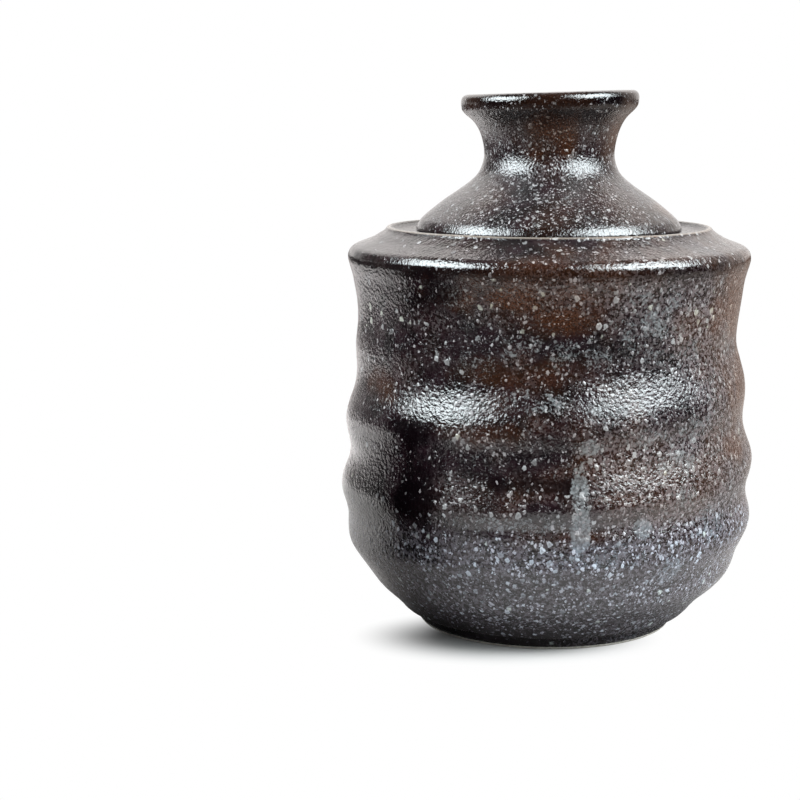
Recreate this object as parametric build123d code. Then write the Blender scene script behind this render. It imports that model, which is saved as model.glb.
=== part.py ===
from build123d import *
import os
from math import cos, log, pi, sin

# A sake flask seated in its warming pot: two separate pieces of glazed stoneware that
# share one upright axis. The pot holds hot water. The flask drops through the pot's
# collar, hangs there by its shoulder, and lifts straight out to pour.
# Units are millimetres, +Z is up, and the origin is the centre of the pot's foot on the table.
# Outlines are drawn in the XZ plane as (radius, height) points and turned about Z.

# ---- pot: foot ----
FOOT_R = 36.8  # bottom edge of the foot ring
FOOT_TOP_R = 39.0  # the ring flares up to here, then steps out to the belly
FOOT_FLARE = (38.4, 2.6)
FOOT_H = 4.2
FOOT_EDGE_R = 0.6
FOOT_RING_WIDTH = 4.6  # flat, unglazed ring that stands on the table
FOOT_RECESS = 2.4  # depth of the hollow inside the foot ring

# ---- pot: mean outer line of the belly, from the top of the foot to the crown ----
CROWN_Z = 101.0  # where the ridged belly ends and the plain shoulder starts
CROWN_R = 56.4
BELLY_LINE = [
    (41.4, FOOT_H),
    (44.8, 8.0),
    (49.4, 12.5),
    (53.6, 17.5),
    (56.6, 23.5),
    (58.6, 31.0),
    (59.1, 40.0),
    (58.6, 50.0),
    (57.8, 60.0),
    (56.6, 70.0),
    (55.6, 79.0),
    (54.9, 86.0),
    (55.35, 94.0),
    (CROWN_R, CROWN_Z),
]

# ---- pot: throwing ridge ----
# One continuous ridge winds up the belly. Every level section is a true circle, and its
# centre circles the axis as the height grows, so the wall swells on the side that the
# centre leans to. The pitch widens with height.
RIDGE_SECTIONS = 46
RIDGE_PITCH_LOW = 11.5  # pitch at the table
RIDGE_PITCH_GROWTH = 0.172  # extra pitch for each millimetre of height
RIDGE_START_Z = 23.9  # height at which the crest faces -X
# (height, how far the centre leans): the ridge dies away at the foot and below the shoulder.
RIDGE_LEAN = [
    (FOOT_H, 0.0),
    (14.0, 0.45),
    (27.0, 0.55),
    (38.0, 0.9),
    (50.0, 1.1),
    (62.0, 0.9),
    (80.0, 0.7),
    (92.0, 0.2),
    (CROWN_Z, 0.0),
]

# ---- pot: shoulder, collar and seat ----
RIM_R = 57.9  # rounded corner of the shoulder
RIM_Z = 107.3
RIM_CORNER_R = 3.5
CROWN_FLARE = (57.25, 104.2)
SHOULDER_SLOPE = 22.0  # degrees above level, just inside the corner
SHOULDER_LINE = [(50.6, 112.6), (48.4, 113.9)]
LIP_R = 46.0  # thin raised lip round the collar
LIP_Z = 115.8
LIP_HALF_WIDTH = 0.8
LIP_DROP = 0.5  # from the lip's top to where its round edge starts
SEAT_R = 44.0  # outer edge of the seat
SEAT_Z = 114.8  # flat seat inside the lip, which the flask hangs on
OPENING_R = 35.0
OPENING_EDGE_R = 1.0

# ---- pot: inside ----
FLOOR_Z = 7.5
OPENING_LOW_Z = 111.6  # lower end of the opening's straight wall
WATER_LINE = [
    (OPENING_R, OPENING_LOW_Z),
    (37.2, 109.4),
    (46.0, 107.6),
    (51.4, 103.6),
    (52.3, 97.0),
    (50.6, 86.0),
    (51.8, 70.0),
    (53.8, 52.0),
    (54.5, 40.0),
    (53.4, 29.0),
    (48.4, 17.5),
    (38.0, 10.0),
    (22.0, 7.8),
    (0.0, FLOOR_Z),
]

# ---- flask: outside ----
SEAT_GAP = 0.05  # keeps the two pieces apart in the model
HANG_Z = SEAT_Z + SEAT_GAP  # underside of the flask's shoulder
MOUTH_INNER = (22.1, 152.9)
MOUTH_TOP = (23.5, 153.9)
MOUTH_EDGE = (25.0, 152.6)
MOUTH_WIDEST = (25.3, 151.2)
MOUTH_LOW = (24.7, 149.6)
SHOULDER_R = 38.2  # rounded edge of the shoulder
SHOULDER_EDGE_Z = 116.4
SHOULDER_EDGE_MIDDLE = (37.85, 115.3)
SHOULDER_UNDER_R = 37.0  # where the flat underside starts
NECK_LINE = [
    MOUTH_LOW,
    (22.3, 146.9),
    (20.45, 144.0),
    (19.4, 141.2),
    (18.85, 138.6),
    (18.7, 136.4),
    (19.05, 134.0),
    (20.25, 131.2),
    (23.1, 128.3),
    (27.2, 125.4),
    (31.3, 122.5),
    (34.6, 119.9),
    (37.0, 117.9),
    (SHOULDER_R, SHOULDER_EDGE_Z),
]
BODY_R = 32.8  # hidden body, just under the shoulder
BODY_FILLET = 1.6
FLASK_FOOT_R = 24.6
FLASK_FOOT_Z = 14.0
FLASK_FOOT_H = 1.9
FLASK_FOOT_TOP = (25.0, FLASK_FOOT_Z + FLASK_FOOT_H)
FLASK_FOOT_RING_WIDTH = 3.2
FLASK_FOOT_RECESS = 1.8
BODY_LOW = (31.8, 34.0)  # the straight body turns in towards the foot here
BODY_TURN = [BODY_LOW, (30.9, 24.6), (28.0, 18.2), FLASK_FOOT_TOP]

# ---- flask: inside ----
THROAT_R = 15.4  # straight bore at the neck
THROAT_LOW_Z = 132.5
THROAT_HIGH_Z = 141.5
MOUTH_FLARE = [(THROAT_R, THROAT_HIGH_Z), (16.5, 145.8), (19.0, 149.6), MOUTH_INNER]
FLASK_FLOOR_Z = 19.6
SAKE_LINE = [
    (THROAT_R, THROAT_LOW_Z),
    (15.9, 130.4),
    (18.6, 127.0),
    (23.2, 123.6),
    (27.4, 120.2),
    (29.3, 115.6),
    (29.4, 108.0),
    (28.7, 60.0),
    (28.4, 34.0),
    (26.8, 24.6),
    (20.0, 20.3),
    (10.0, 19.7),
    (0.0, FLASK_FLOOR_Z),
]

# ---- both: hollow inside a foot ring ----
RECESS_WALL_RUN = 2.4  # how far the hollow's curved wall reaches in
RECESS_WALL_MIDDLE = (0.6, 0.7)  # its middle: millimetres in, share of the depth up
CUT_OVERRUN = 1.0  # how far a cutting body runs past the face it opens


def upright(points):
    """(radius, height) pairs as points of the XZ plane."""
    return [(r, 0, z) for r, z in points]


def turned(edges):
    """The solid made by turning a closed outline about Z."""
    return revolve(make_face(edges), axis=Axis.Z)


def lines(*points):
    return Polyline(*upright(points))


def curve(*points, start=None, end=None):
    """A spline through the points, leaving along start and arriving along end if they are given."""
    if start is None:
        return Spline(*upright(points))
    return Spline(*upright(points), tangents=upright([start, end]), tangent_scalars=(1, 1))


def arc(first, middle, last):
    return ThreePointArc(*upright([first, middle, last]))


def polar(centre, radius, degrees):
    """The point at this angle above +X on a circle in the XZ plane."""
    angle = degrees * pi / 180
    return centre[0] + radius * cos(angle), centre[1] + radius * sin(angle)


def ridge_lean(z):
    """How far the section at height z is off the axis, eased between the values in RIDGE_LEAN."""
    for (low, lean_low), (high, lean_high) in zip(RIDGE_LEAN, RIDGE_LEAN[1:]):
        if z <= high:
            share = (z - low) / (high - low)
            return lean_low + (lean_high - lean_low) * share * share * (3 - 2 * share)
    return 0.0


def ridge_centre(z):
    """Centre of the level section at height z. The angle is the sum of dz / pitch, as turns."""
    pitch = RIDGE_PITCH_LOW + RIDGE_PITCH_GROWTH * z
    pitch_at_start = RIDGE_PITCH_LOW + RIDGE_PITCH_GROWTH * RIDGE_START_Z
    turns = log(pitch / pitch_at_start) / RIDGE_PITCH_GROWTH
    angle = pi + 2 * pi * turns
    return ridge_lean(z) * cos(angle), ridge_lean(z) * sin(angle)


def belly():
    """The ridged wall, as a solid lofted through leaning circles."""
    line = curve(*BELLY_LINE)
    sections = []
    for i in range(RIDGE_SECTIONS):
        point = line @ (i / (RIDGE_SECTIONS - 1))
        x, y = ridge_centre(point.Z)
        sections.append(Pos(x, y, point.Z) * Circle(point.X))
    return loft(sections)


def crown():
    """Shoulder and collar, filled to the axis. The cavity is cut later."""
    corner = (RIM_R - RIM_CORNER_R, RIM_Z)
    corner_middle = polar(corner, RIM_CORNER_R, (90 - SHOULDER_SLOPE) / 2)
    corner_end = polar(corner, RIM_CORNER_R, 90 - SHOULDER_SLOPE)
    slope = polar((0, 0), 1, 180 - SHOULDER_SLOPE)
    lip_out = (LIP_R + LIP_HALF_WIDTH, LIP_Z - LIP_DROP)
    lip_in = (LIP_R - LIP_HALF_WIDTH, LIP_Z - LIP_DROP)
    seat_out = (SEAT_R, SEAT_Z)
    return turned(
        [
            curve((CROWN_R, CROWN_Z), CROWN_FLARE, (RIM_R, RIM_Z), start=(0.2, 1), end=(0, 1)),
            arc((RIM_R, RIM_Z), corner_middle, corner_end),
            curve(corner_end, *SHOULDER_LINE, lip_out, start=slope, end=(-0.6, 1)),
            arc(lip_out, (LIP_R, LIP_Z), lip_in),
            curve(lip_in, seat_out, start=(-0.6, -1), end=(-1, 0)),
            lines(seat_out, (0, SEAT_Z), (0, CROWN_Z), (CROWN_R, CROWN_Z)),
        ]
    )


def foot():
    """Foot ring, filled to the axis, with a softened bottom edge."""
    edge = (FOOT_R - FOOT_EDGE_R, FOOT_EDGE_R)
    return turned(
        [
            lines((0, FOOT_H), (0, 0), (edge[0], 0)),
            arc((edge[0], 0), polar(edge, FOOT_EDGE_R, -45), (FOOT_R, edge[1])),
            curve((FOOT_R, edge[1]), FOOT_FLARE, (FOOT_TOP_R, FOOT_H)),
            lines((FOOT_TOP_R, FOOT_H), (0, FOOT_H)),
        ]
    )


def under_recess(ring_inner_r, bottom_z, depth):
    """The shallow hollow inside a foot ring, to be cut away."""
    below = bottom_z - CUT_OVERRUN
    step_in, share_up = RECESS_WALL_MIDDLE
    edge = (ring_inner_r, bottom_z)
    middle = (ring_inner_r - step_in, bottom_z + share_up * depth)
    ceiling = (ring_inner_r - RECESS_WALL_RUN, bottom_z + depth)
    return turned(
        [
            lines((0, below), (ring_inner_r, below), edge),
            arc(edge, middle, ceiling),
            lines(ceiling, (0, bottom_z + depth), (0, below)),
        ]
    )


def water_space():
    """Inside of the pot with the collar's opening, to be cut away."""
    above = LIP_Z + CUT_OVERRUN
    edge_out = (OPENING_R + OPENING_EDGE_R, SEAT_Z)
    edge_in = (OPENING_R, SEAT_Z - OPENING_EDGE_R)
    edge_middle = polar((edge_out[0], edge_in[1]), OPENING_EDGE_R, 135)
    return turned(
        [
            arc(edge_out, edge_middle, edge_in),
            lines(edge_in, WATER_LINE[0]),
            curve(*WATER_LINE, start=(0, -1), end=(-1, 0)),
            lines(WATER_LINE[-1], (0, above), (edge_out[0], above), edge_out),
        ]
    )


def warming_pot():
    recess = under_recess(FOOT_R - FOOT_RING_WIDTH, 0, FOOT_RECESS)
    return foot() + belly() + crown() - water_space() - recess


def flask_outside():
    """Mouth, neck, shoulder and hidden body, filled to the axis."""
    under = (SHOULDER_UNDER_R, HANG_Z)
    fillet_centre = (BODY_R + BODY_FILLET, HANG_Z - BODY_FILLET)
    fillet_out = (fillet_centre[0], HANG_Z)
    body_top = (BODY_R, fillet_centre[1])
    return turned(
        [
            lines((0, FLASK_FOOT_Z), (0, MOUTH_INNER[1]), MOUTH_INNER),
            arc(MOUTH_INNER, MOUTH_TOP, MOUTH_EDGE),
            arc(MOUTH_EDGE, MOUTH_WIDEST, MOUTH_LOW),
            curve(*NECK_LINE, start=(-0.5, -1), end=(0.05, -1)),
            arc((SHOULDER_R, SHOULDER_EDGE_Z), SHOULDER_EDGE_MIDDLE, under),
            lines(under, fillet_out),
            arc(fillet_out, polar(fillet_centre, BODY_FILLET, 135), body_top),
            lines(body_top, BODY_LOW),
            curve(*BODY_TURN),
            lines(FLASK_FOOT_TOP, (FLASK_FOOT_R, FLASK_FOOT_Z), (0, FLASK_FOOT_Z)),
        ]
    )


def flask_inside():
    """Throat and sake space, to be cut away. It starts above the mouth."""
    above = MOUTH_TOP[1] + CUT_OVERRUN
    flare_end = (MOUTH_INNER[0] + CUT_OVERRUN, above)
    return turned(
        [
            lines(SAKE_LINE[-1], (0, above), flare_end, MOUTH_INNER),
            curve(*MOUTH_FLARE, start=(0, 1), end=(0.75, 1)),
            lines(MOUTH_FLARE[0], SAKE_LINE[0]),
            curve(*SAKE_LINE, start=(0, -1), end=(-1, 0)),
        ]
    )


def flask():
    recess = under_recess(FLASK_FOOT_R - FLASK_FOOT_RING_WIDTH, FLASK_FOOT_Z, FLASK_FOOT_RECESS)
    return flask_outside() - flask_inside() - recess


os.makedirs("parts", exist_ok=True)
export_step(warming_pot(), "parts/warming_pot.step")
export_step(flask(), "parts/flask.step")
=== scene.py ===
import math

import bpy
import numpy as np
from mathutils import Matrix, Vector, noise


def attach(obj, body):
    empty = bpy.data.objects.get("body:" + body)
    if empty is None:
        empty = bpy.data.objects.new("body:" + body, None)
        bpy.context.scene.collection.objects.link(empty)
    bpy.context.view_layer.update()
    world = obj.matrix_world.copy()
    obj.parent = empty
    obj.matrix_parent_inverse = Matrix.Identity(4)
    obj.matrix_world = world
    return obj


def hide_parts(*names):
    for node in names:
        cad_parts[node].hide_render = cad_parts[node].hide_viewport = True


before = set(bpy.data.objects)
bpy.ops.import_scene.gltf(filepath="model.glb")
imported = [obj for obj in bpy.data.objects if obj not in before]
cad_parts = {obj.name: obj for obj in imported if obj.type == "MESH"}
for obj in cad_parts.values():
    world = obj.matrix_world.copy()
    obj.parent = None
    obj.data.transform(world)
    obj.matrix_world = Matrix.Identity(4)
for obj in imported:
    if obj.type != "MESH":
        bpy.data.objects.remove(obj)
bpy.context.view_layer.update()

# A sake flask hanging in its warming pot. Each piece is one closed shell of glazed
# stoneware, turned from its outline in millimetres and scaled to metres at the end.
# The outlines are (radius, height) points, from the middle of the underside, up the
# outside, over the top and down the inside to the middle of the floor.

MM = 0.001

# ---------------------------------------------------------------- outlines

OUTSIDE, INSIDE, CLAY = 0.0, 1.0, 2.0  # zones: outer skin, inner skin or foot hollow, bare clay
SEGMENTS = 576  # around each piece
FINE, COARSE = 0.62, 1.6  # spacing along the outline, in mm
SAME_POINT = 0.02  # points closer than this are one point, in mm


def unit(v):
    v = np.array(v, float)
    return v / np.linalg.norm(v)


def spline(points, start=None, end=None, step=FINE):
    """Cubic spline through points by chord length. Natural ends, or the end directions given."""
    p = np.array(points, float)
    h = np.hypot(*np.diff(p, axis=0).T)
    t = np.concatenate([[0.0], np.cumsum(h)])
    n = len(p)
    slope = np.diff(p, axis=0) / h[:, None]
    a, b = np.zeros((n, n)), np.zeros((n, 2))
    for i in range(1, n - 1):
        a[i, i - 1 : i + 2] = h[i - 1], 2 * (h[i - 1] + h[i]), h[i]
        b[i] = 6 * (slope[i] - slope[i - 1])
    a[0, 0] = a[-1, -1] = 1.0
    if start is not None:
        a[0, :2] = 2 * h[0], h[0]
        b[0] = 6 * (slope[0] - unit(start))
        a[-1, -2:] = h[-1], 2 * h[-1]
        b[-1] = 6 * (unit(end) - slope[-1])
    m = np.linalg.solve(a, b)
    s = np.linspace(0, t[-1], max(3, int(round(t[-1] / step)) + 1))
    i = np.clip(np.searchsorted(t, s, "right") - 1, 0, n - 2)
    d, e, w = (s - t[i])[:, None], (t[i + 1] - s)[:, None], h[i][:, None]
    bent = (m[i] * e**3 + m[i + 1] * d**3) / (6 * w)
    return bent + (p[i] / w - m[i] * w / 6) * e + (p[i + 1] / w - m[i + 1] * w / 6) * d


def line(first, last, step=FINE):
    first, last = np.array(first, float), np.array(last, float)
    n = max(2, int(round(np.linalg.norm(last - first) / step)) + 1)
    return first + (last - first) * np.linspace(0, 1, n)[:, None]


def arc(first, middle, last, step=0.4):
    """Circular arc through three points."""
    (x1, y1), (x2, y2), (x3, y3) = first, middle, last
    d = 2 * (x1 * (y2 - y3) + x2 * (y3 - y1) + x3 * (y1 - y2))
    q1, q2, q3 = x1 * x1 + y1 * y1, x2 * x2 + y2 * y2, x3 * x3 + y3 * y3
    cx = (q1 * (y2 - y3) + q2 * (y3 - y1) + q3 * (y1 - y2)) / d
    cy = (q1 * (x3 - x2) + q2 * (x1 - x3) + q3 * (x2 - x1)) / d
    r = math.hypot(x1 - cx, y1 - cy)
    a1, a2, a3 = (math.atan2(y - cy, x - cx) for x, y in (first, middle, last))
    turn = (a3 - a1) % (2 * math.pi)
    if (a2 - a1) % (2 * math.pi) > turn:
        turn -= 2 * math.pi
    n = max(4, int(round(abs(turn) * r / step)) + 1)
    a = a1 + turn * np.linspace(0, 1, n)
    return np.stack([cx + r * np.cos(a), cy + r * np.sin(a)], 1)


def outline(*runs):
    """Joins (zone, points) runs into one list of points and one of zones. Repeated points are dropped."""
    points, zones = [], []
    for zone, run in runs:
        for p in run:
            if points and np.linalg.norm(p - points[-1]) < SAME_POINT:
                continue
            points.append(np.array(p, float))
            zones.append(zone)
    return np.array(points), np.array(zones)


def soften(points, low, high, inner_r, rounds):
    """Rounds off an outline's corners between two heights, outside inner_r, as glaze does."""
    p = points.copy()
    near = (p[1:-1, 1] > low) & (p[1:-1, 1] < high) & (p[1:-1, 0] > inner_r)
    for _ in range(rounds):
        mid = (p[:-2] + p[2:]) / 2
        p[1:-1][near] = (p[1:-1] * 0.5 + mid * 0.5)[near]
    return p


# ---------------------------------------------------------------- the pot

FOOT_R, FOOT_TOP_R, FOOT_H = 36.8, 39.0, 4.2
CROWN_R, CROWN_Z = 56.4, 101.0
RIM_R, RIM_Z, RIM_CORNER_R = 57.9, 107.3, 3.5
LIP_R, LIP_Z = 46.0, 115.8
SEAT_R, SEAT_Z = 44.0, 114.8
OPENING_R = 35.0
FOOT_HOLLOW_H = 2.4
SHOULDER_SLOPE = math.radians(22)
BELLY_LINE = [
    (41.4, FOOT_H), (44.8, 8.0), (49.4, 12.5), (53.6, 17.5), (56.6, 23.5), (58.6, 31.0), (59.1, 40.0),
    (58.6, 50.0), (57.8, 60.0), (56.6, 70.0), (55.6, 79.0), (54.9, 86.0), (55.35, 94.0),
    (CROWN_R, CROWN_Z),
]
WATER_LINE = [
    (OPENING_R, 111.6), (37.2, 109.4), (46.0, 107.6), (51.4, 103.6), (52.3, 97.0), (50.6, 86.0),
    (51.8, 70.0), (53.8, 52.0), (54.5, 40.0), (53.4, 29.0), (48.4, 17.5), (38.0, 10.0), (22.0, 7.8),
    (0.0, 7.5),
]
# How far the outline's centre leans off the axis at each height, in mm.
RIDGE_LEAN = [
    (FOOT_H, 0.0), (14.0, 0.45), (27.0, 0.55), (38.0, 0.9), (50.0, 1.1), (62.0, 0.9), (80.0, 0.7),
    (92.0, 0.2), (CROWN_Z, 0.0),
]
# The ridge climbs PITCH_LOW + PITCH_GROWTH * z mm a turn. At RIDGE_START_Z its crest faces -X.
PITCH_LOW, PITCH_GROWTH, RIDGE_START_Z = 11.5, 0.172, 23.9


def ridge_lean(z):
    for (low, a), (high, b) in zip(RIDGE_LEAN, RIDGE_LEAN[1:]):
        if low <= z <= high:
            s = (z - low) / (high - low)
            return a + (b - a) * s * s * (3 - 2 * s)
    return 0.0


def ridge_angle(z):
    """Direction the crest of the throwing ridge faces at height z, in radians from +X."""
    at_start = PITCH_LOW + PITCH_GROWTH * RIDGE_START_Z
    return math.pi + 2 * math.pi * math.log((PITCH_LOW + PITCH_GROWTH * z) / at_start) / PITCH_GROWTH


def ridge_centre(z):
    """Where the pot's axis leans to at height z, in mm."""
    lean, angle = ridge_lean(z), ridge_angle(z)
    return np.array([lean * math.cos(angle), lean * math.sin(angle)])


def rim_corner(angle):
    """Point on the rounded corner between the rim and the shoulder, by its angle above level."""
    return (RIM_R - RIM_CORNER_R * (1 - math.cos(angle)), RIM_Z + RIM_CORNER_R * math.sin(angle))


def pot_outline():
    corner_turn = math.pi / 2 - SHOULDER_SLOPE
    corner_middle, corner_end = rim_corner(corner_turn / 2), rim_corner(corner_turn)
    up_shoulder = (-math.cos(SHOULDER_SLOPE), math.sin(SHOULDER_SLOPE))
    shoulder = [corner_end, (50.6, 112.6), (48.4, 113.9), (46.8, 115.3)]
    edge = SEAT_Z - 1
    opening = ((OPENING_R + 1, SEAT_Z), (OPENING_R + 0.293, SEAT_Z - 0.293), (OPENING_R, edge))
    foot = FOOT_R - 0.6
    return outline(
        (INSIDE, line((0, FOOT_HOLLOW_H), (29.8, FOOT_HOLLOW_H), COARSE)),
        (INSIDE, arc((29.8, FOOT_HOLLOW_H), (31.6, 1.68), (32.2, 0.0))),
        (CLAY, line((32.2, 0), (foot, 0))),
        (CLAY, arc((foot, 0), (foot + 0.424, 0.176), (FOOT_R, 0.6), 0.2)),
        (OUTSIDE, spline([(FOOT_R, 0.6), (38.4, 2.6), (FOOT_TOP_R, FOOT_H)], step=0.4)),
        (OUTSIDE, line((FOOT_TOP_R, FOOT_H), (41.4, FOOT_H), 0.4)),
        (OUTSIDE, spline(BELLY_LINE)),
        (OUTSIDE, spline([(CROWN_R, CROWN_Z), (57.25, 104.2), (RIM_R, RIM_Z)], (0.2, 1), (0, 1))),
        (OUTSIDE, arc((RIM_R, RIM_Z), corner_middle, corner_end, 0.35)),
        (OUTSIDE, spline(shoulder, up_shoulder, (-0.6, 1), 0.45)),
        (OUTSIDE, arc((46.8, 115.3), (LIP_R, LIP_Z), (45.2, 115.3), 0.25)),
        (OUTSIDE, spline([(45.2, 115.3), (SEAT_R, SEAT_Z)], (-0.6, -1), (-1, 0), 0.3)),
        (OUTSIDE, line((SEAT_R, SEAT_Z), (OPENING_R + 1, SEAT_Z))),
        (INSIDE, arc(*opening, 0.3)),
        (INSIDE, line((OPENING_R, edge), (OPENING_R, 111.6))),
        (INSIDE, spline(WATER_LINE, (0, -1), (-1, 0), COARSE)),
    )


# ---------------------------------------------------------------- the flask

HANG_Z = SEAT_Z + 0.05
FLASK_FOOT_Z, FLASK_HOLLOW_Z = 14.0, 15.8
BORE_R = 15.4
LIP_START, LIP_FLARE = (24.86, 149.18), (0.574, 0.819)
NECK_LINE = [
    LIP_START, (22.3, 146.7), (20.45, 144.0), (19.4, 141.2), (18.85, 138.6), (18.7, 136.4),
    (19.05, 134.0), (20.25, 131.2), (23.1, 128.3), (27.2, 125.4), (31.2, 122.6), (34.3, 120.1),
    (36.25, 118.4), (37.35, 117.1), (38.0, 115.8), (38.2, 115.2),
]
LIP_LINE = [LIP_START, (25.4, 150.8), (25.4, 152.2), (25.0, 153.2), (24.15, 153.78), (22.9, 153.9)]
SAKE_LINE = [
    (BORE_R, 132.5), (15.9, 130.4), (18.6, 127.0), (23.2, 123.6), (27.4, 120.2), (29.3, 115.6),
    (29.4, 108.0), (28.7, 60.0), (28.4, 34.0), (26.8, 24.6), (20.0, 20.3), (10.0, 19.7), (0.0, 19.6),
]


def flask_outline():
    mouth = [(21.6, 153.1), (18.7, 149.6), (16.5, 145.8), (BORE_R, 141.5)]
    return outline(
        (INSIDE, line((0, FLASK_HOLLOW_Z), (19.0, FLASK_HOLLOW_Z), COARSE)),
        (INSIDE, arc((19.0, FLASK_HOLLOW_Z), (20.8, 15.26), (21.4, FLASK_FOOT_Z))),
        (CLAY, line((21.4, FLASK_FOOT_Z), (24.6, FLASK_FOOT_Z))),
        (CLAY, line((24.6, FLASK_FOOT_Z), (25.0, 15.9), 0.3)),
        (OUTSIDE, spline([(25.0, 15.9), (28.0, 18.2), (30.9, 24.6), (31.8, 34.0)])),
        (OUTSIDE, line((31.8, 34.0), (32.8, HANG_Z - 1.6), COARSE)),
        (OUTSIDE, arc((32.8, HANG_Z - 1.6), (33.269, HANG_Z - 0.469), (34.4, HANG_Z), 0.3)),
        (OUTSIDE, line((34.4, HANG_Z), (37.7, HANG_Z), 0.4)),
        (OUTSIDE, arc((37.7, HANG_Z), (38.05, 114.98), (38.2, 115.2), 0.1)),
        (OUTSIDE, spline(NECK_LINE[::-1], (-0.05, 1), LIP_FLARE, 0.5)),
        (OUTSIDE, spline(LIP_LINE, LIP_FLARE, (-1, 0), 0.25)),
        (OUTSIDE, arc((22.9, 153.9), (22.1, 153.7), (21.6, 153.1), 0.2)),
        (INSIDE, spline(mouth, (-0.75, -1), (0, -1), 0.5)),
        (INSIDE, line((BORE_R, 141.5), (BORE_R, 132.5), 1.0)),
        (INSIDE, spline(SAKE_LINE, (0, -1), (-1, 0), COARSE)),
    )


# ---------------------------------------------------------------- shells


def smooth(low, high, x):
    s = np.clip((x - low) / (high - low), 0, 1)
    return s * s * (3 - 2 * s)


def between(low_start, low_end, high_end, high_start, x):
    """1 from low_end to high_end, easing to 0 at low_start and high_start."""
    return smooth(low_start, low_end, x) * smooth(high_start, high_end, x)


def field(points, size, seed):
    """Soft noise from -1 to 1 that changes over about size mm."""
    k, o = 1.0 / size, Vector((seed * 17.3, seed * 5.1, seed * 9.7))
    return np.array([noise.noise(Vector(p) * k + o) for p in points])


def shell(name, points, zones, relief, paint, centre=None, bend=None):
    """Turns the outline about Z.

    relief moves the outer skin along its normal, in mm. paint gives the glaze fields. centre
    shifts each level of the outer skin, and bend moves the whole grid at the end.
    """
    rows = len(points)
    angle = np.arange(SEGMENTS) * 2 * math.pi / SEGMENTS
    r, z = points[:, 0][:, None], points[:, 1][:, None]
    grid = np.stack([r * np.cos(angle), r * np.sin(angle), z + 0 * angle], 2)
    if centre is not None:
        for i in range(rows):
            if zones[i] == OUTSIDE:
                grid[i, :, :2] += centre(points[i, 1])
    along = np.gradient(grid, axis=0)
    around = np.roll(grid, -1, 1) - np.roll(grid, 1, 1)
    normal = np.cross(around, along)
    length = np.linalg.norm(normal, axis=2, keepdims=True)
    normal = normal / np.maximum(length, 1e-9)
    flat, move = grid.reshape(-1, 3), np.zeros(rows * SEGMENTS)
    outer = np.repeat(zones == OUTSIDE, SEGMENTS)
    move[outer] = relief(flat[outer])
    grid = grid + normal * move.reshape(rows, SEGMENTS, 1)
    if bend is not None:
        grid = bend(grid)
    verts = grid.reshape(-1, 3)
    index = np.arange(rows * SEGMENTS).reshape(rows, SEGMENTS)
    nxt = np.roll(index, -1, 1)
    # The first and last rows lie on the axis, so each becomes one point with a fan of triangles.
    quads = np.stack([index[1:-2], nxt[1:-2], nxt[2:-1], index[2:-1]], 2).reshape(-1, 4)
    rings = verts[index[1:-1]].reshape(-1, 3)
    faces = (quads - SEGMENTS).tolist()
    count = len(rings)
    verts = np.concatenate([rings, [[0, 0, points[0, 1]], [0, 0, points[-1, 1]]]])
    first, last = index[1] - SEGMENTS, index[-2] - SEGMENTS
    faces += [[count, int(b), int(a)] for a, b in zip(first, np.roll(first, -1))]
    faces += [[count + 1, int(a), int(b)] for a, b in zip(last, np.roll(last, -1))]
    mesh = bpy.data.meshes.new(name)
    mesh.from_pydata((verts * MM).tolist(), [], faces)
    zone = np.concatenate([np.repeat(zones[1:-1], SEGMENTS), [zones[0], zones[-1]]])
    fields = paint(verts, zone == INSIDE)
    fields["clay"] = zone == CLAY
    for key, values in fields.items():
        mesh.attributes.new(key, "FLOAT", "POINT").data.foreach_set("value", values.astype(np.float32))
    mesh.update()
    mesh.shade_smooth()
    piece = bpy.data.objects.new(name, mesh)
    bpy.context.scene.collection.objects.link(piece)
    return piece


def facing(p):
    """Direction of each point about the axis, in degrees from the front, positive to the right."""
    return np.degrees(np.arctan2(p[:, 0], -p[:, 1]))


def dabs(p, ragged, strokes, core=0.55, rim=1.2):
    """Dabs of glaze with ragged edges, fading from core to rim.

    A stroke is (direction, height, half width, half height, amount), in degrees and mm.
    """
    turn, r, total = facing(p), np.hypot(p[:, 0], p[:, 1]), np.zeros(len(p))
    for direction, height, half_width, half_height, amount in strokes:
        across = ((turn - direction + 180) % 360 - 180) * r * math.pi / 180 / half_width
        up = (p[:, 2] - height) / half_height
        total = np.maximum(total, amount * (1 - smooth(core, rim, np.hypot(across, up) + ragged)))
    return total


# Where the glaze ran on the side that faces the front, as strokes for dabs.
DRIPS = [
    (4.6, 50, 2.8, 9.5, 0.75), (4.9, 39, 3, 6.6, 1.3), (7, 61, 3.4, 2.8, 0.8),
    (22, 38.8, 3.4, 3.2, 0.9), (32, 26, 4, 4.4, 0.6), (33, 44, 3.2, 3, 0.6),
]
# Pale, crystalline glaze.
CLOUDS = DRIPS + [
    (22, 101, 4.5, 3, 0.55), (34, 100, 4, 4.4, 0.5), (27, 94, 5.5, 5.5, 0.6), (36, 91, 3.6, 3.2, 0.55),
    (17, 92, 4.8, 3.4, 0.4), (24, 85, 7, 3.6, 0.45), (40, 84, 7, 4.6, 0.45), (-12, 87, 7, 3.8, 0.45),
    (0, 86, 5.6, 3.8, 0.4), (-24, 83, 5.6, 3.4, 0.3), (10, 84, 5, 4, 0.45), (-30, 99, 4, 3, 0.3),
    (-8, 73, 13, 3.4, 0.45), (12, 70, 8, 3.4, 0.45), (34, 45, 7, 4, 0.5), (42, 64, 8, 4, 0.45),
    (24, 63, 8, 3, 0.45), (32, 55, 9, 4, 0.5), (46, 38, 9, 5, 0.5), (14, 32, 12, 4, 0.4),
    (-14, 40.5, 22, 2.8, 0.45),
]
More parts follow.
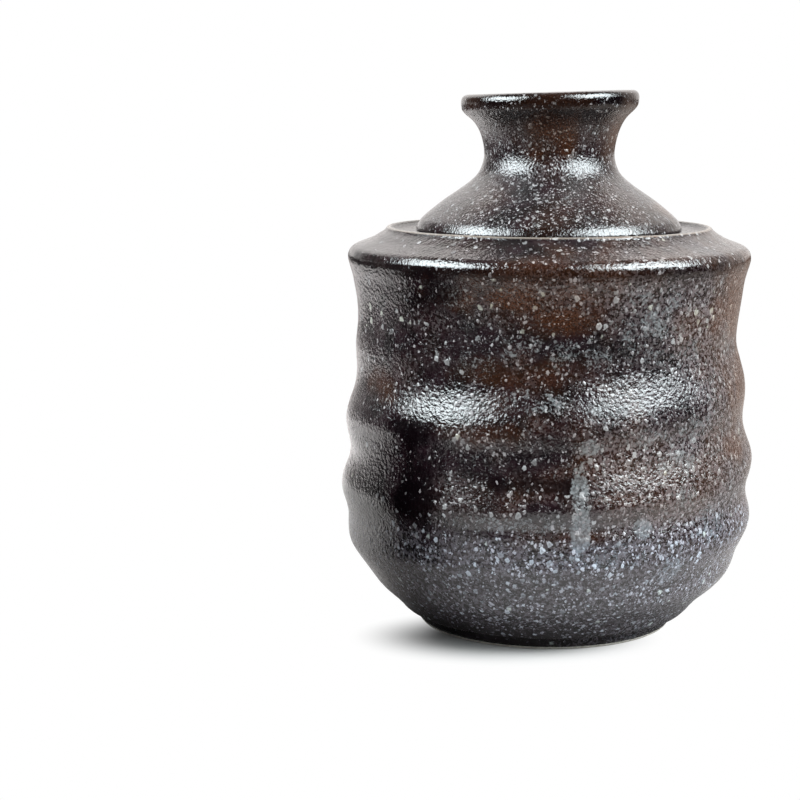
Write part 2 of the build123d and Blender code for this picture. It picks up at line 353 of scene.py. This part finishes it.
# Rusty brown glaze, all round.
RUST = [
    (-9, 101, 19, 5.6, 1), (0, 96, 11, 4.4, 0.9), (-20, 64, 14, 3, 0.45), (-8, 80, 18, 4, 0.5),
    (66, 95, 15, 15, 1.15), (74, 74, 15, 12, 1.1), (60, 56, 12, 5, 0.9), (-4, 37, 9, 3, 0.3),
    (16, 62, 11, 2.6, 0.4), (-60, 74, 8, 4, 0.6), (16, 47, 8, 2.5, 0.6), (8, 37.5, 14, 1.8, 0.6),
    (30, 110, 14, 2.5, 0.5), (118, 88, 14, 9, 0.8), (165, 99, 20, 6, 0.9), (-140, 78, 16, 5, 0.7),
    (-105, 58, 9, 5, 0.6),
]
# More flecks.
SPRAY = [
    (-14, 62, 24, 5, 1), (-6, 42, 22, 4, 1), (-8, 92, 20, 8, 0.6), (10, 74, 20, 4, 0.5),
    (6, 40, 34, 3.2, 1.6),
]
# Painted dark reflections: smooth, nearly black dabs with hardly any flecks, where the glaze mirrors dark
# things in front of the pot.
PAINTED_DARK_REFLECTIONS = [
    (-41, 44, 9, 8, 1), (-42, 63, 9, 5, 0.9), (-5, 51, 15, 3.6, 0.9), (-34, 102, 6, 4, 0.9),
]

THROW_PITCH = 1.9  # of the fine throwing lines on the pot, in mm


def pot_relief(p):
    x, y, z = p.T
    turn, turned = np.arctan2(y, x), facing(p)
    uneven = 0.12 * field(p, 34.0, 1) + 0.05 * field(p, 9.0, 2)
    ripple = 0.035 * field(p, 3.2, 3)
    spiral = np.sin((z - turn / (2 * math.pi) * THROW_PITCH) * 2 * math.pi / THROW_PITCH)
    lines_low = 0.03 * smooth(20, 9, z) * spiral
    lines_high = 0.022 * smooth(103, 109, z) * spiral
    drip = 0.12 * dabs(p, 0.3 * field(p, 4.0, 11), DRIPS)
    # The two lower turns of the ridge are worn flatter on the front, the second more so on its left.
    lean = np.array([ridge_lean(h) * math.cos(ridge_angle(h) - a) for h, a in zip(z, turn)])
    third = 0.75 * lean * between(27, 31, 36, 40, z) * smooth(55, 30, np.abs(turned))
    left = smooth(-5, -20, turned)
    second = (0.46 + 0.26 * left) * lean * between(44 - 6 * left, 48, 57, 62, z)
    second = second * smooth(80, 60, np.abs(turned))
    return uneven + ripple + lines_low + lines_high + drip - third - second


def pot_paint(p, inside):
    z, turned = p[:, 2], facing(p)
    turn = np.radians(turned)
    broad, cloud, ragged = field(p, 26.0, 12), field(p, 7.5, 13), field(p, 3.4, 14)
    edge = 0.45 * cloud + 0.30 * ragged
    keep = np.where(inside, 0.5, 1.0)
    # Where things are: the right side, the low speckled field, the crown and its corner, the left.
    side = np.sin(turn - math.radians(8)) + 0.9 * broad
    speckled = smooth(-0.55, 0.6, side)
    low = smooth(42, 31, z + 4 * cloud)
    crown = smooth(104.0, 106.2, z)
    corner = 1 - smooth(109, 111, z) * (0.35 + 0.55 * smooth(40, 12, np.abs(turned)))
    not_behind = smooth(-110, -80, turned)
    left = smooth(-14, -46, turned) * not_behind
    # Painted dark reflections: these dabs paint the glaze black and take out its flecks, mist and rust.
    dark_reflection = dabs(p, edge, PAINTED_DARK_REFLECTIONS)
    blue = smooth(47, 31, z)

    pale = np.maximum(dabs(p, edge, CLOUDS), dabs(p, 0.4 * edge, DRIPS, 0.7, 1.1))
    pale = np.maximum(pale, 0.55 * smooth(0.2, 1.1, side) * smooth(-0.25, 0.5, cloud + 0.5 * ragged))
    rust = 0.55 * smooth(-0.3, 0.6, broad + 0.5 * cloud) * smooth(30, 48, z)
    rust = rust * (1 - 0.75 * smooth(-5, -30, turned) * not_behind)
    rust = np.maximum(dabs(p, 1.3 * edge, RUST, 0.1, 1.7), rust)
    fleck = 0.26 + 0.60 * speckled + 0.25 * cloud + 0.35 * dabs(p, edge, SPRAY)
    fleck = np.clip(np.maximum(fleck, 0.95 * low) * (1 - 0.7 * dark_reflection), 0, 1)
    # Flecks thin out towards the foot: partly the glaze, darker there, and partly painted shade where the
    # pot meets the table.
    fleck = fleck * (1 - 0.75 * crown * corner) * smooth(1.0, 11.0, z) * (1 - 0.35 * left)
    blob = smooth(88, 93, z) * (1 - crown) * 0.8 + smooth(0.0, 0.5, cloud) * 0.12 + 0.2 * low
    # Mist thins out towards the foot: partly the glaze, and partly painted shade near the table.
    mist = np.maximum(0.6 * low * smooth(3.0, 12.0, z), smooth(-0.35, 0.6, side))
    mist = np.maximum(mist, 0.10 + 0.35 * cloud)
    mist = mist * (1 - 0.7 * crown) * (1 - 0.85 * dark_reflection) * (1 - 0.5 * rust)
    # Painted shade: a dark band just under the rounded corner of the rim.
    painted_shade_under_rim = 0.8 * between(103.6, 105.0, 107.6, 109.0, z)
    smooth_edge = 0.55 * between(104.2, 105.6, 109.0, 110.5, z)
    on_lip = smooth(115.25, 115.6, z) * smooth(45.1, 45.6, np.hypot(p[:, 0], p[:, 1]))
    return {
        "pale": pale * (1 - crown) * keep,
        "rust": rust * (1 - 0.8 * dark_reflection) * keep,
        "fleck": fleck * keep,
        "blob": blob * keep,
        "mist": mist * keep,
        # Painted shade: under the rim's corner, and the painted dark reflections; the base glaze is black
        # there.
        "deep": np.maximum(dark_reflection, painted_shade_under_rim),
        "even": np.maximum(smooth_edge, 0.85 * dark_reflection * smooth(82, 74, z)),
        "cool": blue,
        "shine": blue * (1 - 0.65 * left),
        "thin": on_lip,
    }


WHEEL_PITCH = 2.6  # of the throwing lines on the flask's body, in mm


def flask_relief(p):
    x, y, z = p.T
    fade = np.maximum(smooth(115.5, 117.5, z), between(19.0, 26.0, 108.0, 112.5, z))
    turn = np.arctan2(y, x) / (2 * math.pi)
    wheel = 0.035 * np.sin((z / WHEEL_PITCH - turn) * 2 * math.pi) * smooth(114.0, 108.0, z)
    return fade * (0.05 * field(p, 22.0, 5) + 0.03 * field(p, 4.0, 6) + wheel)


# Rusty brown glaze on the flask.
FLASK_RUST = [
    (-4, 143, 9, 6, 1.2), (62, 143, 7, 7, 0.9), (75, 121, 9, 3, 0.8), (150, 144, 9, 5, 0.8),
    (-120, 122, 12, 4, 0.6),
]


def flask_paint(p, inside):
    z = p[:, 2]
    nothing = np.zeros(len(z))
    broad, cloud = field(p, 16.0, 22), field(p, 6.0, 23)
    keep = np.where(inside, 0.5, 1.0)
    rust = dabs(p, 0.6 * cloud, FLASK_RUST, 0.1, 1.6)
    rusted = np.minimum(rust, 1)
    # Painted shade: darker just under the lip, on the front of the neck.
    painted_shade_under_lip = smooth(144.0, 147.0, z + 1.5 * cloud) * smooth(55, 25, np.abs(facing(p) + 3))
    at_lip = smooth(148.5, 150.5, z)
    at_edge = between(113.0, 114.5, 116.5, 118.5, z)
    fleck = np.clip(0.66 + 0.25 * broad, 0, 1) * (1 - 0.3 * rusted)
    fleck = fleck * (1 - 0.75 * at_lip) * (1 - 0.5 * at_edge)
    even = np.maximum(0.45 * between(113.0, 114.5, 116.8, 118.0, z), 0.7 * smooth(149.0, 150.0, z))
    mist = (0.12 + 0.3 * cloud) * (1 - 0.9 * rusted) * between(122, 128, 150.0, 151.5, z)
    return {
        "pale": 0.25 * smooth(0.1, 0.5, cloud) * (1 - rusted) * keep,
        "rust": np.maximum(rust, 0.3 * smooth(-0.4, 0.6, broad)),
        "fleck": fleck * keep,
        "blob": nothing,
        "mist": mist * (1 - 0.8 * painted_shade_under_lip) * keep,
        # Painted shade: the dark band under the lip's highlight, and the shade under the lip.
        "deep": np.maximum(0.8 * smooth(149.0, 150.2, z), painted_shade_under_lip),
        "even": even + 0.3 * between(128, 133, 139, 144, z),
        "cool": nothing,
        "shine": nothing,
        "thin": nothing,
    }


# ---------------------------------------------------------------- pieces

MOUTH_TILT = math.radians(1.7)
FOOT_CORNERS = (3.2, 6.0)  # heights on the pot between which its corners are rounded off


def mouth_bend(grid):
    """The mouth is a touch out of level, as it left the wheel: lower on the -X side."""
    g = grid.copy()
    g[..., 2] += np.tan(MOUTH_TILT) * g[..., 0] * smooth(138, 150, g[..., 2])
    return g


points, zones = pot_outline()
points = soften(points, *FOOT_CORNERS, inner_r=20, rounds=4)
pot = shell("pot_glazed_shell", points, zones, pot_relief, pot_paint, centre=ridge_centre)
points, zones = flask_outline()
flask = shell("flask_glazed_shell", points, zones, flask_relief, flask_paint, bend=mouth_bend)
for piece, node, body, slot in (
    (pot, "warming_pot", "pot", "pot_glaze"),
    (flask, "flask", "flask", "flask_glaze"),
):
    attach(piece, body)
    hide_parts(node)

# ---------------------------------------------------------------- materials


class Graph:
    """Adds shader nodes. Every call returns an output socket, and inputs take sockets or plain values."""

    def __init__(self, tree):
        self.tree = tree
        tree.nodes.clear()

    def node(self, kind, inputs=(), out=0, **settings):
        n = self.tree.nodes.new(kind)
        for key, value in settings.items():
            setattr(n, key, value)
        for key, value in dict(inputs).items():
            if isinstance(value, bpy.types.NodeSocket):
                self.tree.links.new(value, n.inputs[key])
            else:
                n.inputs[key].default_value = value
        return n.outputs[out] if n.outputs else None

    def math(self, operation, a, b=0.0):
        return self.node("ShaderNodeMath", {0: a, 1: b}, operation=operation)

    def add(self, a, b):
        return self.math("ADD", a, b)

    def mul(self, a, b):
        return self.math("MULTIPLY", a, b)

    def ease(self, x, low, high, to_low=0.0, to_high=1.0):
        """Smooth step of x from to_low at low to to_high at high."""
        keys = {"Value": x, "From Min": low, "From Max": high, "To Min": to_low, "To Max": to_high}
        return self.node("ShaderNodeMapRange", keys, interpolation_type="SMOOTHSTEP")

    def mix(self, share, a, b, blend="MIX"):
        """Colour a at share 0, colour b at share 1."""
        keys = {0: share, 6: a, 7: b}  # by number, since the node's socket names repeat
        return self.node("ShaderNodeMix", keys, out=2, data_type="RGBA", blend_type=blend)

    def tint(self, share, a, b):
        """Multiplies colour a by colour b, fully at share 1."""
        return self.mix(share, a, b, "MULTIPLY")

    def scaled(self, colour, factor):
        return self.node("ShaderNodeVectorMath", {0: colour, "Scale": factor}, operation="SCALE")

    def noise(self, p, size, detail=2.0, roughness=0.5, out=0):
        keys = {"Vector": p, "Scale": 1.0 / size, "Detail": detail, "Roughness": roughness}
        return self.node("ShaderNodeTexNoise", keys, out=out)

    def inverse(self, share):
        return self.math("SUBTRACT", 1.0, share)

    def length(self, vector):
        return self.node("ShaderNodeVectorMath", {0: vector}, out="Value", operation="LENGTH")

    def split(self, vector):
        n = self.tree.nodes.new("ShaderNodeSeparateXYZ")
        self.tree.links.new(vector, n.inputs[0])
        return n.outputs[0], n.outputs[1], n.outputs[2]

    def vector(self, operation, a, b):
        return self.node("ShaderNodeVectorMath", {0: a, 1: b}, operation=operation)

    def field(self, name):
        """One of the painted glaze fields."""
        return self.node("ShaderNodeAttribute", out="Fac", attribute_name=name)

    def is_camera_ray(self):
        return self.node("ShaderNodeLightPath", out="Is Camera Ray")

    def flecks(self, p, cell, small, large, share):
        """Round flecks of radius small to large, in units of a cell. share of the cells have one.

        Returns the flecks' mask, their domes, and a random number for each fleck.
        """
        cells = self.tree.nodes.new("ShaderNodeTexVoronoi")
        cells.inputs["Scale"].default_value = 1.0 / cell
        self.tree.links.new(p, cells.inputs["Vector"])
        luck = self.split(cells.outputs["Color"])
        radius = self.add(small, self.mul(luck[0], large - small))
        depth = self.math("SUBTRACT", radius, cells.outputs["Distance"])
        present = self.math("GREATER_THAN", share, luck[1])
        mask = self.mul(self.ease(depth, 0.0, 0.1), present)
        dome = self.mul(self.ease(depth, -0.04, large), present)
        return mask, dome, luck[2]


def rgb(r, g, b):
    return (r, g, b, 1.0)


# Colours of the glaze, as linear light.
BLACK_GLAZE, BROWN_BLACK_GLAZE = rgb(0.0016, 0.0006, 0.0010), rgb(0.0085, 0.0034, 0.0050)
RUST_DARK, RUST_LIGHT = rgb(0.012, 0.0040, 0.0016), rgb(0.058, 0.0235, 0.0105)
RUST_TINT, COOL_TINT = rgb(1.0, 0.76, 0.62), rgb(0.92, 1.02, 1.16)
MIST_GREY = rgb(0.132, 0.108, 0.112)
CRYSTAL_DARK, CRYSTAL_LIGHT = rgb(0.080, 0.079, 0.080), rgb(0.165, 0.172, 0.177)
THIN_GLAZE = rgb(0.30, 0.25, 0.21)
CLAY_DARK, CLAY_LIGHT = rgb(0.52, 0.48, 0.42), rgb(0.66, 0.62, 0.56)

# Layers of silver flecks, finest first: cell in mm, radii in cells, offset of the cells, how much
# of the fleck field they fill, faintest and strongest paint, dome in mm, and colour.
FLECKS = [
    (0.56, 0.22, 0.46, (0.0, 0.0, 0.0), 0.80, 0.05, 0.75, 0.035, (0.115, 0.102, 0.103)),
    (0.92, 0.20, 0.48, (31.0, 7.0, 3.0), 0.95, 0.10, 0.95, 0.10, (0.195, 0.177, 0.181)),
    (1.40, 0.20, 0.44, (71.0, 17.0, 43.0), 0.80, 0.15, 1.00, 0.15, (0.220, 0.205, 0.209)),
    (2.10, 0.19, 0.43, (3.0, 57.0, 13.0), 0.62, 0.30, 1.00, 0.19, (0.240, 0.236, 0.238)),
]
# Rare large spots, led by their own field.
SPOT_CELL, SPOT_SMALL, SPOT_LARGE, SPOT_OFFSET = 4.2, 0.12, 0.26, (13.0, 5.0, 71.0)
SPOT_FAINT, SPOT_STRONG, SPOT_DOME, SPOT_COLOUR = 0.55, 0.95, 0.18, (0.300, 0.300, 0.262)


def glaze(name, scale, pebble, lift):
    """Dark stoneware glaze with raised silver flecks, led by the painted fields.

    scale sizes the flecks. pebble is the height of the pebbly skin, in mm, and lift scales
    the flecks' domes.
    """
    material = bpy.data.materials.new(name)
    material.use_nodes = True
    g = Graph(material.node_tree)
    p = g.vector("MULTIPLY", g.node("ShaderNodeTexCoord", out="Object"), (1 / MM, 1 / MM, 1 / MM))
    pale, rust, fleck, mist = (g.field(key) for key in ("pale", "rust", "fleck", "mist"))
    # Flecks sit in wobbled cells, drawn out a little along the height.
    wobble = g.vector("SUBTRACT", g.noise(p, 1.0, 2.0, out="Color"), (0.5, 0.5, 0.5))
    q = g.vector("ADD", p, g.vector("MULTIPLY", wobble, (1.3, 1.3, 1.5)))
    q = g.vector("MULTIPLY", q, (1.0 / scale, 1.0 / scale, 0.85 / scale))

    grain = g.noise(p, 0.5, 3.0, 0.7)
    mottle = g.noise(p, 6.0, 3.0, 0.6)
    pebbles = g.noise(p, 0.9 * scale, 1.0, 0.5)
    # Painted shade: where that field is high the base stays black instead of brown-black.
    browned = g.mul(g.ease(mottle, 0.35, 0.65), g.inverse(g.field("deep")))
    dark = g.mix(browned, BLACK_GLAZE, BROWN_BLACK_GLAZE)
    colour = g.mix(rust, dark, g.mix(g.ease(grain, 0.3, 0.7), RUST_DARK, RUST_LIGHT))

    fine = g.ease(g.noise(p, 1.0 * scale, 2.0, 0.6), 0.48, 0.57)
    colour = g.mix(g.mul(g.mul(mist, fine), 0.85), colour, MIST_GREY)
    breakup = g.add(g.mul(g.noise(p, 0.8, 2.0, 0.7), 0.7), g.mul(g.noise(p, 2.6, 1.0), 0.3))
    cover = g.ease(g.add(pale, g.mul(g.math("SUBTRACT", breakup, 0.5), 3.6)), 0.38, 0.85)
    crystal = g.mix(g.ease(pebbles, 0.36, 0.62), CRYSTAL_DARK, CRYSTAL_LIGHT)
    colour = g.mix(g.mul(cover, 0.78), colour, crystal)

    shine = g.ease(g.field("shine"), 0.0, 1.0, 1.0, 1.65)
    flecked, domes = 0.0, 0.0
    for layer in FLECKS:
        cell, small, large, offset, share, faint, strong, dome_height, paint = layer
        mask, dome, luck = g.flecks(g.vector("ADD", q, offset), cell, small, large, g.mul(fleck, share))
        domes = g.add(domes, g.mul(dome, dome_height))
        if layer is not FLECKS[0]:  # the finest don't change the gloss
            flecked = g.math("MAXIMUM", flecked, mask)
        if layer is FLECKS[-1]:  # the largest are hollow in the middle
            mask = g.mul(mask, g.ease(dome, 0.45, 0.9, 1.0, 0.62))
        strength = g.mul(mask, g.ease(luck, 0.1, 1.0, faint, strong))
        colour = g.mix(strength, colour, g.scaled(paint, shine))
    at = g.vector("ADD", q, SPOT_OFFSET)
    mask, dome, _ = g.flecks(at, SPOT_CELL, SPOT_SMALL, SPOT_LARGE, g.field("blob"))
    domes = g.add(domes, g.mul(dome, SPOT_DOME))
    flecked = g.math("MAXIMUM", flecked, mask)
    strength = g.mul(mask, g.ease(grain, 0.1, 1.0, SPOT_FAINT, SPOT_STRONG))
    colour = g.mix(strength, colour, g.scaled(SPOT_COLOUR, shine))

    colour = g.mix(g.mul(g.field("thin"), 0.45), colour, THIN_GLAZE)
    colour = g.tint(g.mul(rust, 0.8), colour, RUST_TINT)
    colour = g.tint(g.field("cool"), colour, COOL_TINT)
    ragged = g.mul(g.math("SUBTRACT", g.noise(p, 2.0), 0.5), 0.6)
    clay = g.ease(g.add(g.field("clay"), ragged), 0.35, 0.5)
    sandy = g.mix(g.ease(g.noise(p, 0.7, 4.0, 0.7), 0.35, 0.7), CLAY_DARK, CLAY_LIGHT)
    colour = g.mix(clay, colour, sandy)

    roughness = g.ease(g.noise(p, 5.0, 2.0), 0.3, 0.7, 0.095, 0.16)
    matt = g.add(g.mul(g.math("MAXIMUM", flecked, cover), 0.08), g.mul(mist, 0.09))
    roughness = g.mul(g.add(roughness, matt), g.inverse(clay))
    roughness = g.add(roughness, g.mul(clay, 0.85))

    bumpy = g.inverse(g.mul(g.field("even"), 0.75))
    skin = g.add(g.mul(grain, 0.060), g.mul(g.noise(p, 2.6, 1.0), 0.10))
    skin = g.add(g.mul(pebbles, pebble), skin)
    height = g.mul(g.add(skin, g.mul(domes, lift)), bumpy)
    bump = g.node("ShaderNodeBump", {"Height": height, "Distance": MM, "Strength": 1.0})
    keys = {
        "Base Color": colour,
        "Roughness": roughness,
        "Normal": bump,
        "IOR": 1.55,
        "Specular IOR Level": g.math("SUBTRACT", 0.6, g.mul(clay, 0.45)),
    }
    g.node("ShaderNodeOutputMaterial", {"Surface": g.node("ShaderNodeBsdfPrincipled", keys)})
    return material


pot.data.materials.append(glaze("pot_speckled_glaze", 1.0, 0.24, 1.0))
flask.data.materials.append(glaze("flask_speckled_glaze", 0.72, 0.21, 1.15))

# ---------------------------------------------------------------- studio


def backdrop_shade(g, toward_y):
    """White in the front view and pale grey from behind, so that bright edges still stand out."""
    return g.ease(toward_y, -0.6, 0.6, 0.70, 1.0)


FLOOR_EDGE = 4.0
BLACK, WHITE = rgb(0.0, 0.0, 0.0), rgb(1.0, 1.0, 1.0)
PAPER = rgb(0.43, 0.415, 0.405)
# PAPER_BRIGHT is painted light on the table's back and left.
PAPER_LIT, PAPER_BRIGHT = rgb(0.485, 0.445, 0.43), rgb(0.80, 0.72, 0.70)  # in the glaze's reflections
PAPER_WARM = rgb(1.0, 0.90, 0.82)
TENT_LEFT, TENT_RIGHT = rgb(1.0, 0.965, 0.945), rgb(1.0, 0.915, 0.855)


def paper_in_reflections(g, place):
    """Colour of the table as the glaze mirrors it: it ends at the front, the left and the right."""
    x, y, _ = g.split(place)
    front = g.mul(g.ease(y, -0.20, -0.11, 0.09, 1.0), g.ease(y, -0.37, -0.32, 0.15, 1.0))
    wide = g.mul(g.ease(x, 0.37, 0.42, 1.0, 0.05), g.ease(x, -0.365, -0.32, 0.04, 1.0))
    back = g.mul(g.ease(y, 0.15, 0.35), g.ease(x, -0.365, -0.31, 0.05, 1.0))
    spread = g.math("MAXIMUM", g.mul(front, wide), back)
    # Painted shade on the table close round the pot.
    painted_contact_shade = g.ease(g.length(place), 0.038, 0.062, 0.25, 1.0)
    # Painted shade: the table is darker to the right.
    spread = g.mul(g.mul(spread, g.ease(x, 0.05, 0.20, 1.0, 0.48)), painted_contact_shade)
    # Painted light: the table is brighter at the back and on the left; it is also warmer to the right.
    bright = g.math("MAXIMUM", g.ease(y, 0.12, 0.30), g.ease(x, -0.26, -0.12, 1.0, 0.0))
    paper = g.tint(g.ease(x, 0.03, 0.22), g.mix(bright, PAPER_LIT, PAPER_BRIGHT), PAPER_WARM)
    return g.mix(spread, BLACK, paper)


def make_floor():
    """White paper under the pot. To the camera it fades to plain white just past the shadow."""
    mesh = bpy.data.meshes.new("floor")
    e = FLOOR_EDGE
    mesh.from_pydata([(-e, -e, 0), (e, -e, 0), (e, e, 0), (-e, e, 0)], [], [(0, 1, 2, 3)])
    floor = bpy.data.objects.new("floor", mesh)
    bpy.context.scene.collection.objects.link(floor)
    material = bpy.data.materials.new("paper")
    material.use_nodes = True
    g = Graph(material.node_tree)
    place = g.node("ShaderNodeTexCoord", out="Object")
    # The shadow lies to the left and the front, so the fade is centred there.
    beside = g.vector("MULTIPLY", g.vector("ADD", place, (0.012, 0.024, 0.0)), (1.0, 1.5, 0.0))
    far = g.ease(g.length(beside), 0.018, 0.046)
    away_y = g.mul(g.split(g.node("ShaderNodeNewGeometry", out="Incoming"))[1], -1.0)
    shade = backdrop_shade(g, away_y)
    paper = g.node("ShaderNodeBsdfDiffuse", {"Color": g.mix(shade, BLACK, PAPER)})
    plain = g.node("ShaderNodeEmission", {"Color": WHITE, "Strength": shade})
    shown = g.node("ShaderNodeMixShader", {0: far, 1: paper, 2: plain})
    lit = g.node("ShaderNodeBsdfDiffuse", {"Color": paper_in_reflections(g, place)})
    both = g.node("ShaderNodeMixShader", {0: g.is_camera_ray(), 1: lit, 2: shown})
    g.node("ShaderNodeOutputMaterial", {"Surface": both})
    floor.data.materials.append(material)


def make_world():
    """A white tent over the back and a dark room past the camera, which itself sees the backdrop."""
    world = bpy.data.worlds.new("studio")
    bpy.context.scene.world = world
    world.use_nodes = True
    g = Graph(world.node_tree)
    x, y, z = g.split(g.node("ShaderNodeTexCoord", out="Generated"))
    opening = g.ease(z, 0.12, 0.45, 0.30, -0.30)
    tent = g.ease(g.math("SUBTRACT", y, opening), -0.12, 0.12, 0.03, 0.7)
    tent = g.add(tent, g.mul(g.ease(y, 0.25, 0.75), g.ease(z, 0.25, 0.65, 0.50, 1.5)))
    roof = g.add(g.ease(z, 0.70, 0.79, 1.0, 0.18), g.ease(z, 0.88, 0.98, 0.0, 0.30))
    tent = g.mul(tent, g.mul(roof, g.ease(x, 0.35, 0.85, 1.0, 0.6)))
    # Dark shelf at the back left.
    shelf = g.mul(g.ease(z, -0.02, 0.06), g.ease(z, 0.40, 0.60, 1.0, 0.0))
    tent = g.mul(tent, g.inverse(g.mul(g.ease(x, -0.62, -0.40, 0.9, 0.0), shelf)))
    seen = g.is_camera_ray()
    colour = g.mix(seen, g.mix(g.ease(x, 0.20, 0.80), TENT_LEFT, TENT_RIGHT), WHITE)
    strength = g.add(g.mul(seen, backdrop_shade(g, y)), g.mul(g.inverse(seen), tent))
    sky = g.node("ShaderNodeBackground", {"Color": colour, "Strength": strength})
    g.node("ShaderNodeOutputWorld", {"Surface": sky})


SOFTBOX_COLOUR = (0.88, 0.97, 1.0)
SOFTBOX_AIM = (0.0, 0.0, 0.08)


def softbox(name, azimuth, elevation, distance, width, height, radiance):
    """Soft light that the glaze mirrors and the camera doesn't see.

    azimuth and elevation are in degrees: azimuth from the camera's side, positive to the right.
    """
    data = bpy.data.lights.new(name, "AREA")
    data.shape = "RECTANGLE"
    data.size, data.size_y = width, height
    data.energy = radiance * math.pi * width * height
    data.color = SOFTBOX_COLOUR
    obj = bpy.data.objects.new(name, data)
    bpy.context.scene.collection.objects.link(obj)
    a, e = math.radians(azimuth), math.radians(elevation)
    way = Vector((math.sin(a) * math.cos(e), -math.cos(a) * math.cos(e), math.sin(e)))
    obj.location = Vector(SOFTBOX_AIM) + way * distance
    obj.rotation_euler = way.to_track_quat("Z", "Y").to_euler()
    obj.visible_camera = False


FLAG_STEPS = 48
FLAG_BLACK = rgb(0.006, 0.005, 0.006)


def flag(name, place, radius, height):
    """Dark card rolled into a drum, as a photographer's flag is. The camera doesn't see it."""
    steps = FLAG_STEPS
    angles = [2 * math.pi * i / steps for i in range(steps)]
    verts = [(radius * math.cos(a), radius * math.sin(a), z) for z in (0.0, height) for a in angles]
    faces = [(i, (i + 1) % steps, steps + (i + 1) % steps, steps + i) for i in range(steps)]
    faces.append(tuple(range(steps, 2 * steps)))
    mesh = bpy.data.meshes.new(name)
    mesh.from_pydata(verts, [], faces)
    obj = bpy.data.objects.new(name, mesh)
    bpy.context.scene.collection.objects.link(obj)
    obj.location = place
    material = bpy.data.materials.new(name)
    material.use_nodes = True
    g = Graph(material.node_tree)
    card = g.node("ShaderNodeBsdfDiffuse", {"Color": FLAG_BLACK})
    g.node("ShaderNodeOutputMaterial", {"Surface": card})
    mesh.materials.append(material)
    obj.visible_camera = False


make_floor()
make_world()
softbox("softbox_left", -71, 33, 0.9, 0.80, 0.57, 11.5)
softbox("softbox_right", 58, 36, 0.9, 0.92, 0.6, 11.5)
softbox("softbox_left_core", -71, 33, 0.89, 0.42, 0.40, 7.5)
softbox("softbox_right_core", 58, 36, 0.89, 0.46, 0.40, 8.0)
flag("dark_flag", (-0.113, -0.052, 0.0), 0.037, 0.078)

CAMERA_LENS, CAMERA_SENSOR = 85.5, 36  # in mm
CAMERA_PLACE = (-0.04286, -0.55023, 0.1531)
CAMERA_DIP = 9.12  # degrees below level

camera_data = bpy.data.cameras.new("camera")
camera_data.lens = CAMERA_LENS
camera_data.sensor_width = CAMERA_SENSOR
camera = bpy.data.objects.new("camera", camera_data)
bpy.context.scene.collection.objects.link(camera)
camera.location = CAMERA_PLACE
camera.rotation_euler = (math.radians(90 - CAMERA_DIP), 0, 0)
bpy.context.scene.camera = camera
bpy.context.scene.view_settings.view_transform = "Standard"
